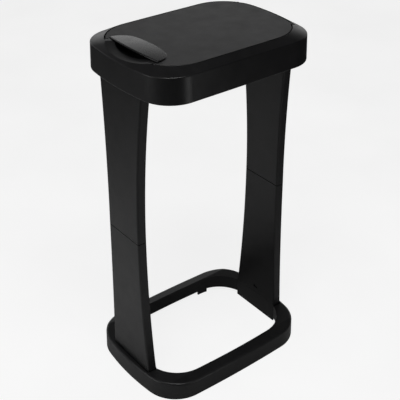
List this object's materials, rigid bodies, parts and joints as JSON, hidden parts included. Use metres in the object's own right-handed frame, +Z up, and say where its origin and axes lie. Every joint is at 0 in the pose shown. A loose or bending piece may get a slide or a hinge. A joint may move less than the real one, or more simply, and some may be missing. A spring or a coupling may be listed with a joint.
{
  "type": "plastic bag holder",
  "caption": "Free-standing black plastic bag holder: open base ring, hour-glass posts and a lift-off rim with a hinged lid and finger lift, the bag hanging in the open middle.",
  "frame": {"origin": "on the floor, in the middle of the base ring", "axes": "+Z up; X along the long side, with the finger lift at the -X end and the lid's hinge at the +X end; Y along the short side, the front long side facing -Y"},
  "size_m": [0.3534, 0.2604, 0.6559],
  "materials": {
    "base_black": "fine satin moulding grain",
    "post_black": "fine satin moulding grain",
    "frame_black": "plain matt moulding, hidden under the rim",
    "rim_black": "satin moulding",
    "lid_black": "fine matt grain",
    "lift_black": "smooth, semi-gloss",
    "pin_steel": "plain drawn wire"
  },
  "bodies": {
    "stand": {"base_ring": "base_black", "lower_post_left": "post_black", "lower_post_right": "post_black", "upper_post_left": "post_black", "upper_post_right": "post_black", "bag_frame": "frame_black"},
    "cover": {"lid_frame": "rim_black", "lid_hinge_pin_front": "pin_steel", "lid_hinge_pin_back": "pin_steel"},
    "lid": {"lid_panel": "lid_black", "finger_lift": "lift_black"}
  },
  "joints": [
    {"name": "cover_lift", "type": "slide", "parent": "stand", "child": "cover", "axis": [0, 0, 1], "range_m": [0, 0.09]},
    {"name": "lid_hinge", "type": "hinge", "parent": "cover", "child": "lid", "pos_m": [0.1413, 0, 0.6465], "axis": [0, 1, 0], "range_deg": [0, 95]}
  ]
}
